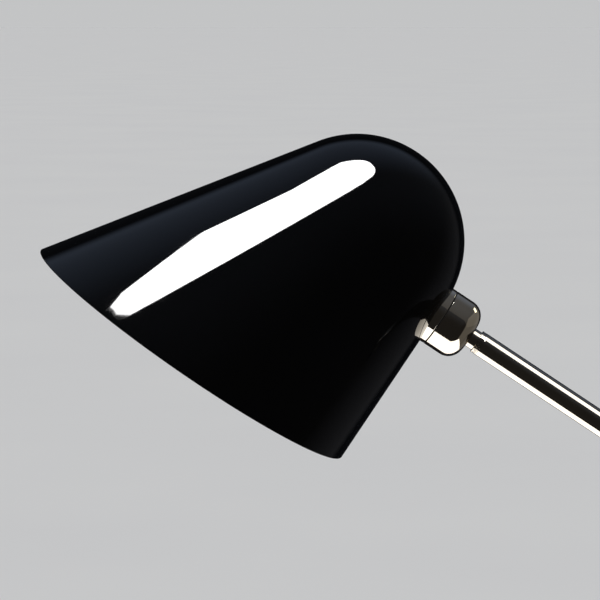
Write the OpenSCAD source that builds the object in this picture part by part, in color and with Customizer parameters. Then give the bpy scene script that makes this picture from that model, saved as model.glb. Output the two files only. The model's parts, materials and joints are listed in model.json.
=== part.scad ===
// Adjustable arm floor lamp: a weighted round base, a slim column, a tilting and turning
// knuckle, a tube arm and a slant-cut spun shade on a turned swivel. Units are millimetres.
// The origin is the centre of the base's underside, +Z is up and the arm leans towards -X.

/* [Stand] */
// Diameter of the round base
base_d = 280; // [240:5:340]
// Height of the base's top above the floor
base_h = 20; // [20:1:24]
// Outer diameter of the column tube
column_d = 19; // [19:0.5:22]
// Height of the tilt pivot above the floor
pivot_h = 1130; // [700:10:1300]

/* [Arm] */
// Distance from the tilt pivot to the head swivel's seam
arm_len = 560; // [300:10:700]
// Outer diameter of the arm tube
arm_d = 12.7; // [12.7:0.1:14]

/* [Knuckles] */
// Diameter of the turned knuckles
knuckle_d = 32.6; // [32:0.2:36]
// Length of the head swivel's cup, from its seam to its end face
cup_len = 18.4; // [18:0.2:22]
// Radius of the rounded shoulder on the knuckles
shoulder_r = 8.5; // [7:0.5:9]
// Diameter of the exposed necks
neck_d = 10.6; // [10.2:0.2:11.4]
// Exposed length of the necks
neck_len = 4.5; // [3:0.5:8]

/* [Shade] */
// Radius of the shade's spherical crown
crown_r = 56.6; // [56:0.2:60]
// Half angle of the shade's cone
cone_half = 17.5; // [15:0.5:19]
// Length along the axis from the crown's centre to the slanted mouth
mouth_len = 103; // [98:1:125]
// Angle of the mouth's plane from square
mouth_slant = 16.5; // [10:0.5:20]
// Thickness of the spun metal
shade_wall = 1.2; // [1:0.1:1.6]
// Angle of the shade's axis below the horizontal
shade_dip = 38.9; // [36:0.1:42]
// Distance from the cone's tangent circle to the swivel's centre
seat_shift = 9; // [9:0.5:12]

/* [Foot switch] */
// Distance from the column to the foot button
switch_out = 93; // [85:1:96]
// Travel of the foot button
switch_travel = 4; // [3:0.5:4]

/* [Hidden] */
$fn = 72;
eps = 0.05;
far = 400;

// Running clearances: round a shaft, and between two faces that turn on each other
run_fit = 0.05;
face_gap = 0.1;

// Knuckles and necks
knuckle_r = knuckle_d / 2;
neck_r = neck_d / 2;
cup_wall = 2.1;
cup_bore_r = knuckle_r - cup_wall;
stud_r = 4.5;
lead_bore_r = 2.6;
lead_r = 2.2;
collar_len = 2.7;
plug_len = 19.4;

// Arm tube
arm_r = arm_d / 2;
arm_bore_r = arm_r - 1;
arm_rise = 90 - shade_dip - cone_half;
tube_start = knuckle_r + neck_len + collar_len;
tube_end = arm_len - cup_len - neck_len - collar_len;

// Head swivel, measured along the arm from the seam, positive into the shade
nipple_r = 5;
nipple_bore_r = 3.4;
seam_t = 0.5;
seam_recess = 0.15;
stand_off = 2.6;
saddle_r = 9.4;
saddle_flat = stand_off + shade_wall + 2.5;
strap_t = 2;
plate_t = 3.5;
washer_t = 0.8;
washer_r = 9.2;
nut_t = 4;
nut_r = 9;
stop_r = 1.2;
stop_out = 11;
lug_half = 8;

// Inside the shade, measured from the crown's centre, positive towards the crown
strap_z = 25;
strap_w = 16;
strap_end = -14;
strap_wire_x = 30;
holder_r = 20;
holder_bore_r = holder_r - 3;
holder_joint_z = 8;
shell_r = 15.4;
shell_bore_r = 14.4;
screw_cap_r = 13.2;
holder_mouth = -28;
bulb_r = 22.5;
bulb_z = holder_mouth - 31.5;
bulb_cut_z = holder_mouth - 19;
bulb_collar_z = holder_mouth - 2;

// Tilt knuckle, measured from the pivot
cheek_out = 12.6;
slot_half = 6.6;
tongue_half = 6;
yoke_drop = 34;
bolt_r = 4;
bolt_head_r = 6.6;
bolt_head_t = 4;
cap_seat_r = 10;
cap_reach = 7;
spring_washer_t = 1.2;
disc_r = 14.5;
disc_t = 0.5;
cut = 30;
bend_r = 9;
path_half = 2.5;
window_half = 64;
lowest_tilt = 50;
neck_room = 0.6;

// Column
column_r = column_d / 2;
column_bore_r = column_r - 1.5;
stem_r = 6;
stem_flange_z = -yoke_drop - 5;
bush_top_z = stem_flange_z - face_gap;
column_top_z = bush_top_z - 6;
column_stop_r = 0.7;
stem_bore_r = 3.2;
stem_socket = 10;
bush_end_z = column_top_z - 40;
boss_seat = base_h + 6;
boss_len = 26;
boss_r = 24;
boss_rim = 3;
boss_collar = 4;
boss_ease = 2;

// Base
base_r = base_d / 2;
cover_wall = 1.6;
cover_round = 5;
felt_t = 2.5;
plate_top = 4;
weight_top = base_h - cover_wall;
weight_r = base_r - 5.5;
recess_r = 40;
recess_top = 13;
base_washer_r = 11;
base_washer_t = 1.5;
channel_w = 8;
lead_z = 9;
foot_screw_out = 50;
foot_screw_count = 3;
foot_screw_angle = 150;
foot_screw_head_r = 4;
foot_screw_r = 2;
foot_screw_head_t = 1.7;
foot_screw_grip = 6;
hidden_gap = 0.2;
block = [18, 16, 8];
block_y = 16;
block_pitch = 5;
base_lead_r = 2.5;
grommet_bore_r = 3.2;
grommet_flange_r = 6.2;
grommet_flange_t = 3;

// Foot switch
switch_angle = -45;
button_r = 14;
pocket_r = 17;
bezel_spigot_r = 16.5;
switch_top = 9.6;
button_low = switch_top + switch_travel + 0.4;
button_top = base_h + 7;
spring_coil_r = 8.5;
spring_wire_r = 0.8;
spring_turns = 4;

// ---- Frames ----

module at_pivot() {
  translate([0, 0, pivot_h]) children();
}

// +Z runs up the arm, from the pivot towards the head
module along_arm(distance = 0) {
  at_pivot() rotate([0, arm_rise - 90, 0]) translate([0, 0, distance]) children();
}

module at_seam() {
  along_arm(arm_len) children();
}

// The shade stands upright here: crown up, mouth down, swivel on the +X side
module in_shade() {
  at_seam() translate([seat_shift, 0, crown_r + stand_off])
    rotate([0, 90 + cone_half, 0]) children();
}

module at_switch() {
  rotate([0, 0, switch_angle]) translate([switch_out, 0, 0]) children();
}

// ---- Shared shapes ----

function arc(centre, r, from, to, steps = 8) =
  [for (i = [0:steps]) let (a = from + (to - from) * i / steps)
    [centre.x + r * cos(a), centre.y + r * sin(a)]];

module ring(outer, inner, low, high) {
  translate([0, 0, low]) difference() {
    cylinder(r = outer, h = high - low);
    translate([0, 0, -1]) cylinder(r = inner, h = high - low + 2);
  }
}

module rod(r, low, high) {
  translate([0, 0, low]) cylinder(r = r, h = high - low);
}

// A round bar along Y
module cross_rod(r, low, high) {
  rotate([-90, 0, 0]) rod(r, low, high);
}

module cross_ring(outer, inner, low, high) {
  rotate([-90, 0, 0]) ring(outer, inner, low, high);
}

module hex_nut(across_corners_r, bore, low, high) {
  translate([0, 0, low]) difference() {
    cylinder(r = across_corners_r, h = high - low, $fn = 6);
    translate([0, 0, -1]) cylinder(r = bore, h = high - low + 2);
  }
}

// A turned knuckle body: straight at the top, with a rounded shoulder down to a flat face
module turned_body(r, low, high, shoulder, bore) {
  rotate_extrude() polygon(concat(
    [[bore, high], [bore, low]],
    arc([r - shoulder, low + shoulder], shoulder, -90, 0),
    [[r, high]]));
}

// The half outline of the shade's outside, or of its inside with inset = shade_wall
function shade_half(inset) =
  let (r = crown_r - inset, end = mouth_len + 40)
  concat([[0, -end]],
    [[r * cos(cone_half) + (end + r * sin(cone_half)) * tan(cone_half), -end]],
    arc([0, 0], r, cone_half, 90, 16));

module shade_solid(inset = 0) {
  rotate_extrude($fn = 200) polygon(shade_half(inset));
}

// A point on the swivel's side of the shade: depth from the crown's centre along the
// wall's normal, and slide along the wall towards the mouth
function wall_point(depth, slide) =
  [depth * cos(cone_half) + slide * sin(cone_half),
   depth * sin(cone_half) - slide * cos(cone_half)];

// A ring with a lug that runs against a stop pin
module stop_lug(inner, outer, low, high) {
  rotate([0, 0, 180 - lug_half]) translate([0, 0, low])
    rotate_extrude(angle = 2 * lug_half) translate([inner, 0])
      square([outer - inner, high - low]);
}

// A round bar swept along points: a ring of corners at each point, and caps at both ends
module swept_bar(points, r, sides = 8) {
  last = len(points) - 1;
  rings = [for (i = [0:last])
    let (ahead = points[min(i + 1, last)] - points[max(i - 1, 0)],
         t = ahead / norm(ahead),
         side = abs(t.y) < 0.9 ? [0, 1, 0] : [1, 0, 0],
         u = cross(t, side) / norm(cross(t, side)),
         v = cross(t, u))
    for (k = [0:sides - 1]) let (a = 360 * k / sides)
      points[i] + r * (cos(a) * u + sin(a) * v)];
  walls = [for (i = [0:last - 1], k = [0:sides - 1])
    let (m = (k + 1) % sides)
    [i * sides + k, i * sides + m, (i + 1) * sides + m, (i + 1) * sides + k]];
  caps = [[for (k = [sides - 1:-1:0]) k], [for (k = [0:sides - 1]) last * sides + k]];
  polyhedron(points = rings, faces = concat(walls, caps));
}

// ---- Base ----

module foot_screw_places() {
  for (i = [0:foot_screw_count - 1])
    rotate([0, 0, foot_screw_angle + 360 * i / foot_screw_count])
      translate([foot_screw_out, 0, 0]) children();
}

module base_felt() {
  color("dimgray") difference() {
    rod(weight_r, 0, felt_t);
    foot_screw_places() rod(foot_screw_head_r + 1.5, -1, felt_t + 1);
  }
}

module base_plate() {
  color("silver") difference() {
    rod(base_r - cover_wall - 0.4, felt_t, plate_top);
    foot_screw_places() rod(foot_screw_r + 0.1, 0, plate_top + 1);
  }
}

module base_screws() {
  color("silver") foot_screw_places() union() {
    rod(foot_screw_r, felt_t, plate_top + foot_screw_grip);
    rod(foot_screw_head_r, felt_t - foot_screw_head_t, felt_t);
  }
}

module channel(from, to, angle) {
  rotate([0, 0, angle]) translate([from, -channel_w / 2, 0])
    cube([to - from, channel_w, recess_top]);
}

module base_weight() {
  color("dimgray") difference() {
    rod(weight_r, plate_top, weight_top);
    rod(recess_r, 0, recess_top);
    rod(nipple_r + hidden_gap, 0, base_h);
    at_switch() rod(pocket_r, 0, base_h);
    channel(recess_r - 5, base_r, 90);
    channel(recess_r - 5, switch_out - pocket_r + 5, switch_angle);
    foot_screw_places() rod(foot_screw_r, 0, plate_top + foot_screw_grip + 2);
  }
}

module base_cover() {
  inner = base_r - cover_wall;
  color([0.02, 0.02, 0.025]) difference() {
    rotate_extrude() polygon(concat(
      [[nipple_r + hidden_gap, weight_top]],
      arc([base_r - cover_round, base_h - cover_round], cover_round - cover_wall, 90, 0),
      [[inner, felt_t], [base_r, felt_t]],
      arc([base_r - cover_round, base_h - cover_round], cover_round, 0, 90),
      [[nipple_r + hidden_gap, base_h]]));
    at_switch() rod(bezel_spigot_r, 0, base_h + 1);
    translate([0, 0, lead_z]) cross_rod(nipple_r, base_r - 10, base_r + 10);
  }
}

module cord_grommet() {
  color([0.05, 0.05, 0.05]) difference() {
    translate([0, 0, lead_z]) union() {
      cross_rod(nipple_r, weight_r + 0.1, base_r + grommet_flange_t);
      difference() {
        cross_rod(grommet_flange_r, base_r - 1, base_r + grommet_flange_t);
        translate([0, 0, -lead_z]) rod(base_r, 0, base_h);
      }
    }
    translate([0, 0, lead_z]) cross_rod(grommet_bore_r, base_r - 10, base_r + 10);
  }
}

module terminal_block() {
  color("ivory") difference() {
    translate([-block.x / 2, block_y, plate_top + hidden_gap]) cube(block);
    for (i = [-1:1])
      translate([i * block_pitch, block_y + block.y / 2, plate_top]) rod(1.6, 5, block.z + 1);
  }
}

module base_lead() {
  color("black") translate([0, 0, lead_z])
    cross_rod(base_lead_r, block_y + block.y + 0.1, weight_r);
}

module column_rod() {
  color("silver") ring(nipple_r, nipple_bore_r, 7, boss_seat + 18);
}

module base_washer() {
  color("silver") ring(base_washer_r, nipple_r, recess_top - base_washer_t, recess_top);
}

module base_nut() {
  high = recess_top - base_washer_t;
  color("silver") hex_nut(nut_r, nipple_r, high - nut_t, high);
}

module column_boss() {
  top_r = column_r + boss_collar;
  color([0.78, 0.76, 0.71]) difference() {
    rotate_extrude() polygon(concat(
      [[nipple_r, base_h], [boss_r, base_h], [boss_r, base_h + boss_rim]],
      arc([boss_r - shoulder_r, base_h + boss_rim], shoulder_r, 0, 90),
      [[top_r, base_h + boss_rim + shoulder_r], [top_r, base_h + boss_len - boss_ease]],
      arc([top_r - boss_ease, base_h + boss_len - boss_ease], boss_ease, 0, 90, 4),
      [[column_r, base_h + boss_len], [column_r, boss_seat], [nipple_r, boss_seat]]));
    rod(nipple_r, 0, boss_seat + 1);
  }
}

module column_plug() {
  color("silver") ring(column_bore_r, nipple_r, boss_seat, boss_seat + 20);
}

module column_tube() {
  color([0.78, 0.76, 0.71])
    ring(column_r, column_bore_r, boss_seat, pivot_h + column_top_z);
}

module column_bush() {
  color([0.78, 0.76, 0.71]) at_pivot() difference() {
    rotate_extrude() polygon([
      [stem_r + run_fit, bush_top_z], [column_r - 0.4, bush_top_z],
      [column_r, bush_top_z - 0.4], [column_r, column_top_z],
      [column_bore_r, column_top_z], [column_bore_r, bush_end_z],
      [stem_r + run_fit, bush_end_z]]);
    translate([(stem_r + column_bore_r) / 2, 0, 0]) rod(column_stop_r, bush_end_z - 1, bush_end_z + 3);
  }
}

module column_stop_pin() {
  color("silver") at_pivot() translate([(stem_r + column_bore_r) / 2, 0, 0])
    rod(column_stop_r, bush_end_z - 3.5, bush_end_z + 3);
}

module column_lead() {
  color("black") rod(lead_r, 5, pivot_h + bush_end_z - 9);
}

// ---- Foot switch ----

module switch_body() {
  color([0.06, 0.06, 0.06]) at_switch() union() {
    rod(pocket_r - 1, plate_top + 0.2, switch_top);
    rod(5.5, switch_top - 1, switch_top + 3);
  }
}

module switch_spring() {
  low = switch_top + spring_wire_r + eps;
  high = button_top - 2 - spring_wire_r - eps;
  steps = 18 * spring_turns;
  color("silver") at_switch() swept_bar([for (i = [0:steps])
    let (a = 360 * spring_turns * i / steps)
    [spring_coil_r * cos(a), spring_coil_r * sin(a), low + (high - low) * i / steps]],
    spring_wire_r);
}

module switch_button() {
  color([0.78, 0.76, 0.71]) at_switch() rotate_extrude() polygon(concat(
    [[0, button_top - 2], [button_r - 2, button_top - 2], [button_r - 2, button_low],
     [button_r + 1.4, button_low], [button_r + 1.4, button_low + 1.5],
     [button_r, button_low + 1.5]],
    arc([button_r - 3, button_top - 3], 3, 0, 90, 6),
    [[0, button_top]]));
}

module switch_bezel() {
  inner = button_r + 0.3;
  color([0.78, 0.76, 0.71]) at_switch() rotate_extrude() polygon([
    [inner, base_h - 4], [bezel_spigot_r, base_h - 4], [bezel_spigot_r, base_h],
    [bezel_spigot_r + 2, base_h], [bezel_spigot_r + 2, base_h + 1],
    [bezel_spigot_r + 1, base_h + 2], [inner, base_h + 2]]);
}

// ---- Column swivel and tilt yoke ----

module yoke_stem() {
  color([0.78, 0.76, 0.71]) at_pivot() rotate_extrude() polygon([
    [stem_bore_r, bush_end_z - 8], [stem_r, bush_end_z - 8], [stem_r, stem_flange_z],
    [column_r - 1.9, stem_flange_z], [column_r - 1.5, stem_flange_z + 0.4],
    [column_r - 1.5, -yoke_drop], [stem_r, -yoke_drop], [stem_r, -yoke_drop + stem_socket],
    [stem_bore_r, -yoke_drop + stem_socket]]);
}

module stem_retainer() {
  outer = column_bore_r - 0.3;
  color("silver") at_pivot() union() {
    ring(outer, stem_r, bush_end_z - 7, bush_end_z - 3.8);
    stop_lug(stem_r, outer, bush_end_z - 4, bush_end_z - 0.2);
  }
}

module yoke_fork() {
  color([0.78, 0.76, 0.71]) at_pivot() difference() {
    intersection() {
      turned_body(knuckle_r, -yoke_drop, knuckle_r + 1, shoulder_r, 0);
      union() {
        cross_rod(knuckle_r, -cut, cut);
        translate([-cut, -cut, -yoke_drop - 1]) cube([2 * cut, 2 * cut, yoke_drop + 1]);
      }
    }
    intersection() {
      translate([-cut, -slot_half, -cut]) cube([2 * cut, 2 * slot_half, 2 * cut]);
      union() {
        cross_rod(knuckle_r + 1, -cut, cut);
        translate([-cut, -cut, 0]) cube(2 * cut);
        rotate([0, arm_rise - lowest_tilt, 0])
          translate([-cut, -cut, -neck_r - neck_room]) cube([cut, 2 * cut, 2 * cut]);
      }
    }
    cross_rod(bolt_r, -cut, cut);
    for (side = [0, 1]) mirror([0, side, 0]) cross_rod(cap_seat_r, cheek_out, cut);
    rod(stem_r, -yoke_drop - 1, -yoke_drop + stem_socket);
    rod(lead_bore_r, -yoke_drop, -10);
  }
}

module tilt_bolt() {
  color("silver") at_pivot() union() {
    cross_rod(bolt_r, -cheek_out - 12, cheek_out);
    rotate([-90, 0, 0]) translate([0, 0, cheek_out])
      cylinder(r = bolt_head_r, h = bolt_head_t, $fn = 6);
  }
}

module tilt_friction_discs() {
  middle = (slot_half + tongue_half) / 2;
  color("saddlebrown") at_pivot() for (side = [0, 1]) mirror([0, side, 0])
    cross_ring(disc_r, bolt_r + 0.3, middle - disc_t / 2, middle + disc_t / 2);
}

module tilt_spring_washer() {
  color("silver") at_pivot() 
    cross_ring(8.5, bolt_r + 0.2, -cheek_out - spring_washer_t, -cheek_out);
}

module tilt_knob() {
  flutes = 20;
  grip_r = 12;
  low = -cheek_out - 16;
  high = -cheek_out - spring_washer_t - face_gap;
  color([0.78, 0.76, 0.71]) at_pivot() rotate([-90, 0, 0]) difference() {
    rotate_extrude() polygon(concat(
      [[0, low]],
      arc([grip_r - 2.5, low + 2.5], 2.5, -90, 0, 5),
      [[grip_r, high - 4.5], [grip_r - 3, high - 2.5], [grip_r - 3, high],
       [bolt_r + run_fit, high], [bolt_r + run_fit, low + 3], [0, low + 3]]));
    for (i = [0:flutes - 1]) rotate([0, 0, 360 * i / flutes])
      translate([grip_r + 0.7, 0, 0]) rod(1.2, low + 2.5, high - 5);
  }
}

module tilt_cap() {
  outer = cap_seat_r - 0.4;
  inner = bolt_head_r + 0.6;
  ease = 4;
  color([0.78, 0.76, 0.71]) at_pivot() rotate([-90, 0, 0]) rotate_extrude()
    polygon(concat(
      [[0, cheek_out + cap_reach - 2], [inner, cheek_out + cap_reach - 2], [inner, cheek_out],
       [outer, cheek_out]],
      arc([outer - ease, cheek_out + cap_reach - ease], ease, 0, 90, 6),
      [[0, cheek_out + cap_reach]]));
}

module yoke_lead() {
  color("black") at_pivot() rod(lead_r, bush_end_z - 7.8, -12.5);
}

// ---- Arm ----

// The hollow round the bolt that the lead runs through, and its mouth towards the stem
module lead_path() {
  rotate([90, 0, 0]) linear_extrude(height = 2 * lead_bore_r, center = true) difference() {
    union() {
      circle(r = bend_r + path_half);
      polygon([[0, 0], for (a = [-window_half, 0, window_half]) 24 * [sin(a), -cos(a)]]);
    }
    circle(r = bend_r - path_half);
  }
}

module tilt_tongue() {
  color([0.78, 0.76, 0.71]) difference() {
    union() {
      at_pivot() cross_rod(knuckle_r, -tongue_half, tongue_half);
      along_arm() rod(neck_r, 11, knuckle_r + neck_len);
      along_arm() rod(stud_r, 12, knuckle_r + neck_len + plug_len - 1);
    }
    at_pivot() cross_rod(bolt_r + run_fit, -10, 10);
    at_pivot() lead_path();
    along_arm() rod(lead_bore_r, 9, knuckle_r + neck_len + plug_len);
  }
}

// The fitting that closes a tube's end: a flange with two fine grooves, and a plug
module tube_fitting() {
  groove = 0.35;
  color([0.78, 0.76, 0.71]) rotate_extrude() polygon(concat(
    [[stud_r, 0], [arm_r - 0.3, 0], [arm_r, 0.3]],
    [for (z = [0.8, 1.6], step = [[0, 0], [groove, 0], [groove, groove], [0, groove]])
      [arm_r - step.x, z + step.y]],
    [[arm_r, collar_len], [arm_bore_r, collar_len], [arm_bore_r, collar_len + plug_len],
     [stud_r, collar_len + plug_len]]));
}

module arm_lower_collar() {
  along_arm(knuckle_r + neck_len) tube_fitting();
}

module arm_upper_collar() {
  along_arm(tube_end + collar_len) mirror([0, 0, 1]) tube_fitting();
}

module arm_tube() {
  color([0.78, 0.76, 0.71]) along_arm() ring(arm_r, arm_bore_r, tube_start, tube_end);
}

module head_neck() {
  color([0.78, 0.76, 0.71]) at_seam() difference() {
    union() {
      rod(stud_r, -cup_len - neck_len - plug_len + 1, -cup_len + cup_wall);
      rod(neck_r, -cup_len - neck_len, -cup_len);
    }
    rod(lead_bore_r, -cup_len - 40, 0);
  }
}

module head_cup() {
  inner_shoulder = shoulder_r - cup_wall;
  color([0.78, 0.76, 0.71]) at_seam() rotate_extrude() polygon(concat(
    [[cup_bore_r, 0]],
    arc([knuckle_r - shoulder_r, -cup_len + shoulder_r], inner_shoulder, 0, -90),
    [[stud_r, -cup_len + cup_wall], [stud_r, -cup_len]],
    arc([knuckle_r - shoulder_r, -cup_len + shoulder_r], shoulder_r, -90, 0),
    [[knuckle_r, 0]]));
}

module swivel_plate() {
  color("silver") at_seam() difference() {
    ring(cup_bore_r, nipple_r + run_fit, -plate_t - face_gap, -face_gap);
    translate([stop_out, 0, 0]) rod(stop_r, -plate_t - 1, -1);
  }
}

module swivel_stop_pin() {
  color("silver") at_seam() translate([stop_out, 0, 0]) rod(stop_r, -plate_t - 5.5, -1);
}

module arm_lead() {
  color("black") union() {
    along_arm() rod(lead_r, bend_r, arm_len - 12);
    at_pivot() rotate([90, 0, 0]) rotate([0, 0, 180 - arm_rise])
      rotate_extrude(angle = 85 + arm_rise) translate([bend_r, 0]) circle(r = lead_r);
  }
}

// ---- Head ----

module seam_ring() {
  color([0.2, 0.19, 0.18]) at_seam()
    ring(knuckle_r - seam_recess, nipple_r, run_fit, seam_t + run_fit);
}

module seat_ring() {
  color([0.78, 0.76, 0.71]) difference() {
    at_seam() ring(knuckle_r, nipple_r, seam_t + run_fit, stand_off + 4);
    in_shade() shade_solid();
  }
}

module swivel_nipple() {
  color("silver") at_seam()
    ring(nipple_r, nipple_bore_r, -10.5, saddle_flat + strap_t + nut_t + 1);
}

module swivel_washer() {
  high = -plate_t - 2 * face_gap;
  color("silver") at_seam() ring(washer_r, nipple_r, high - washer_t, high);
}

module swivel_nut() {
  high = -plate_t - 2 * face_gap - washer_t;
  color("silver") at_seam() union() {
    hex_nut(nut_r, nipple_r, high - nut_t, high);
    stop_lug(nut_r - 1.5, stop_out + 1.6, high - 3, high);
  }
}

module shade() {
  color([0.02, 0.02, 0.025]) in_shade() difference() {
    shade_solid();
    shade_solid(shade_wall);
    translate([0, 0, -mouth_len]) rotate([0, -mouth_slant, 0])
      translate([-far / 2, -far / 2, -far]) cube([far, far, far]);
    swivel_bore(nipple_r);
  }
}

// A round hole through the wall on the swivel's axis, in the shade's frame
module swivel_bore(r) {
  rotate([0, -90 - cone_half, 0]) translate([-seat_shift, 0, -crown_r - 10])
    cylinder(r = r, h = 30);
}

module shade_saddle() {
  color("silver") intersection() {
    at_seam() ring(saddle_r, nipple_r, stand_off, saddle_flat);
    in_shade() shade_solid(shade_wall);
  }
}

module shade_nut() {
  low = saddle_flat + strap_t;
  color("silver") at_seam() hex_nut(nut_r, nipple_r, low, low + nut_t);
}

// A bent strap: one leg on the swivel, square to its axis, and one across the crown
module holder_strap() {
  outer = crown_r + stand_off - saddle_flat;
  inner = outer - strap_t;
  low_end = seat_shift + 9;
  function at_height(depth, z) = [(depth - z * sin(cone_half)) / cos(cone_half), z];
  color("silver") in_shade() difference() {
    rotate([90, 0, 0]) linear_extrude(height = strap_w, center = true) polygon([
      wall_point(outer, low_end), wall_point(inner, low_end),
      at_height(inner, strap_z), [strap_end, strap_z],
      [strap_end, strap_z + strap_t], at_height(outer, strap_z + strap_t)]);
    swivel_bore(nipple_r);
    rod(nipple_r, strap_z - 1, strap_z + strap_t + 1);
    translate([strap_wire_x, 0, 0]) rod(4, strap_z - 1, strap_z + strap_t + 1);
  }
}

module holder_nipple() {
  color("silver") in_shade() ring(nipple_r, nipple_bore_r, strap_z - 6, strap_z + 8);
}

module holder_nut() {
  color("silver") in_shade()
    hex_nut(nut_r, nipple_r, strap_z + strap_t, strap_z + strap_t + nut_t);
}

module holder_cap() {
  color([0.06, 0.06, 0.06]) in_shade() rotate_extrude() polygon(concat(
    [[nipple_r, strap_z], [nipple_r, strap_z - 6], [12, strap_z - 6],
     [holder_bore_r, 14], [holder_bore_r, holder_joint_z], [holder_r, holder_joint_z]],
    arc([holder_r - 8, 17], 8, 0, 90, 6)));
}

module holder_body() {
  color([0.06, 0.06, 0.06]) in_shade() rotate_extrude() polygon([
    [holder_r, holder_joint_z], [holder_bore_r, holder_joint_z],
    [holder_bore_r, holder_mouth + 3], [shell_bore_r + 0.2, holder_mouth + 3],
    [shell_bore_r + 0.2, holder_mouth], [holder_r - 1, holder_mouth],
    [holder_r, holder_mouth + 1]]);
}

module holder_core() {
  color("ivory") in_shade() ring(holder_bore_r, 3, -2, holder_joint_z - 1);
}

module holder_shell() {
  color("goldenrod") in_shade() ring(shell_r, shell_bore_r, holder_mouth + 3, -2);
}

module holder_contact() {
  color("goldenrod") in_shade() union() {
    rod(3, -2.6, 2);
    translate([0, 0, -3]) rod(5, 0, 1);
  }
}

module bulb_screw_cap() {
  inner = screw_cap_r - 0.8;
  color("silver") in_shade() rotate_extrude() polygon(concat(
    [[0, -3.1], [4, -3.1], [6, -5], [screw_cap_r, -7]],
    [for (i = [0:4], step = [[0.6, -1], [0.6, -2], [0, -3]])
      [screw_cap_r + step.x, -7 - 3.6 * i + step.y]],
    [[screw_cap_r, bulb_collar_z], [inner, bulb_collar_z], [inner, -7.6], [0, -5]]));
}

module bulb_collar() {
  color("white") in_shade() rotate_extrude() polygon([
    [0, bulb_collar_z], [13.8, bulb_collar_z], [14.2, bulb_collar_z - 2],
    [18.9, bulb_cut_z + 2], [18.9, bulb_cut_z], [0, bulb_cut_z]]);
}

module bulb_globe() {
  half = asin((bulb_cut_z - bulb_z) / bulb_r);
  color("white") in_shade() translate([0, 0, bulb_z]) rotate_extrude() polygon(concat(
    arc([0, 0], bulb_r, -90, half, 20),
    [[0, bulb_cut_z - bulb_z], [0, bulb_cut_z - bulb_z - 1]],
    [[(bulb_r - 1) * cos(half) - 1, bulb_cut_z - bulb_z - 1]],
    arc([0, 0], bulb_r - 1, half - 5, -90, 20)));
}

module head_lead() {
  exit = crown_r + stand_off;
  start = wall_point(exit + 10, seat_shift);
  end = wall_point(exit - saddle_flat - 8, seat_shift);
  color("black") in_shade() swept_bar([
    [start.x, 0, start.y], [end.x, 0, end.y], [41, 0, 3], [37, 0, 3.5], [33, 0, 7],
    [30.5, 0, 12], [30, 0, 18], [30, 0, 26], [29.5, 0, 33], [27, 0, 39], [22, 0, 42.5],
    [15, 0, 44], [8, 0, 43], [3, 0, 39.5], [0.5, 0, 35], [0, 0, 30], [0, 0, 21]],
    lead_r);
}

base_felt();
base_plate();
base_screws();
base_weight();
base_cover();
cord_grommet();
terminal_block();
base_lead();
column_rod();
base_washer();
base_nut();
column_boss();
column_plug();
column_tube();
column_bush();
column_stop_pin();
column_lead();
switch_body();
switch_spring();
switch_button();
switch_bezel();
yoke_stem();
stem_retainer();
yoke_fork();
tilt_bolt();
tilt_friction_discs();
tilt_spring_washer();
tilt_knob();
tilt_cap();
yoke_lead();
tilt_tongue();
arm_lower_collar();
arm_tube();
arm_upper_collar();
head_neck();
head_cup();
swivel_plate();
swivel_stop_pin();
arm_lead();
seam_ring();
seat_ring();
swivel_nipple();
swivel_washer();
swivel_nut();
shade();
shade_saddle();
shade_nut();
holder_strap();
holder_nipple();
holder_nut();
holder_cap();
holder_body();
holder_core();
holder_shell();
holder_contact();
bulb_screw_cap();
bulb_collar();
bulb_globe();
head_lead();
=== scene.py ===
import json
import math

import bpy
from mathutils import Matrix, Vector

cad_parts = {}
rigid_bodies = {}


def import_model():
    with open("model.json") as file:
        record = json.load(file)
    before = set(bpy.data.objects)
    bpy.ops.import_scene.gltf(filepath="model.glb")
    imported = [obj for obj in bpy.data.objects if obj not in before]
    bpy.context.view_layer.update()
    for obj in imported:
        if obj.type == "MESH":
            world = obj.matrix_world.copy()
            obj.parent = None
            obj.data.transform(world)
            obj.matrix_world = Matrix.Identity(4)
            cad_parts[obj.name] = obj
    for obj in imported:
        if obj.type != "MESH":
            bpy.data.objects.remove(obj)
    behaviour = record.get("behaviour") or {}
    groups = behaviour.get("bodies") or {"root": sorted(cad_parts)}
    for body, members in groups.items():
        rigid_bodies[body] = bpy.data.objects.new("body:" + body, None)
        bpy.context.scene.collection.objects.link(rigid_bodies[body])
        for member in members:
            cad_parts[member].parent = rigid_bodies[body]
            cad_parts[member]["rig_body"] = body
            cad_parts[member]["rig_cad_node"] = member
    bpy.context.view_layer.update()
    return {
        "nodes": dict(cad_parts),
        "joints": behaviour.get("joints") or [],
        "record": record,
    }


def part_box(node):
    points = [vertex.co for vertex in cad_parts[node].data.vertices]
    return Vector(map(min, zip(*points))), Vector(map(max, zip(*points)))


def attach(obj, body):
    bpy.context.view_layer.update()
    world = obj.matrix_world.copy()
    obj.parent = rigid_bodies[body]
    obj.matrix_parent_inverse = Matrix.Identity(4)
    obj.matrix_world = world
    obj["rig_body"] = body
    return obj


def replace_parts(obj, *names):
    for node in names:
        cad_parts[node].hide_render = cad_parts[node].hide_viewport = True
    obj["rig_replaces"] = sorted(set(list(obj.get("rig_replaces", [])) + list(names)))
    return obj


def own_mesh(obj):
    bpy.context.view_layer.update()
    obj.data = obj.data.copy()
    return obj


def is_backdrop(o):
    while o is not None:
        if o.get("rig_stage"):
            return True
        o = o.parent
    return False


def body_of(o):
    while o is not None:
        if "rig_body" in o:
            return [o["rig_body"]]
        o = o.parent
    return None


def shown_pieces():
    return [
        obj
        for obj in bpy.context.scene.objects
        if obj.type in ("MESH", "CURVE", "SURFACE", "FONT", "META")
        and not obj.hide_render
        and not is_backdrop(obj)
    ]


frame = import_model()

# Looks of an adjustable arm floor lamp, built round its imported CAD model. All lengths are metres.

MM = 0.001

# ---- The CAD model's own sizes ----

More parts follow.
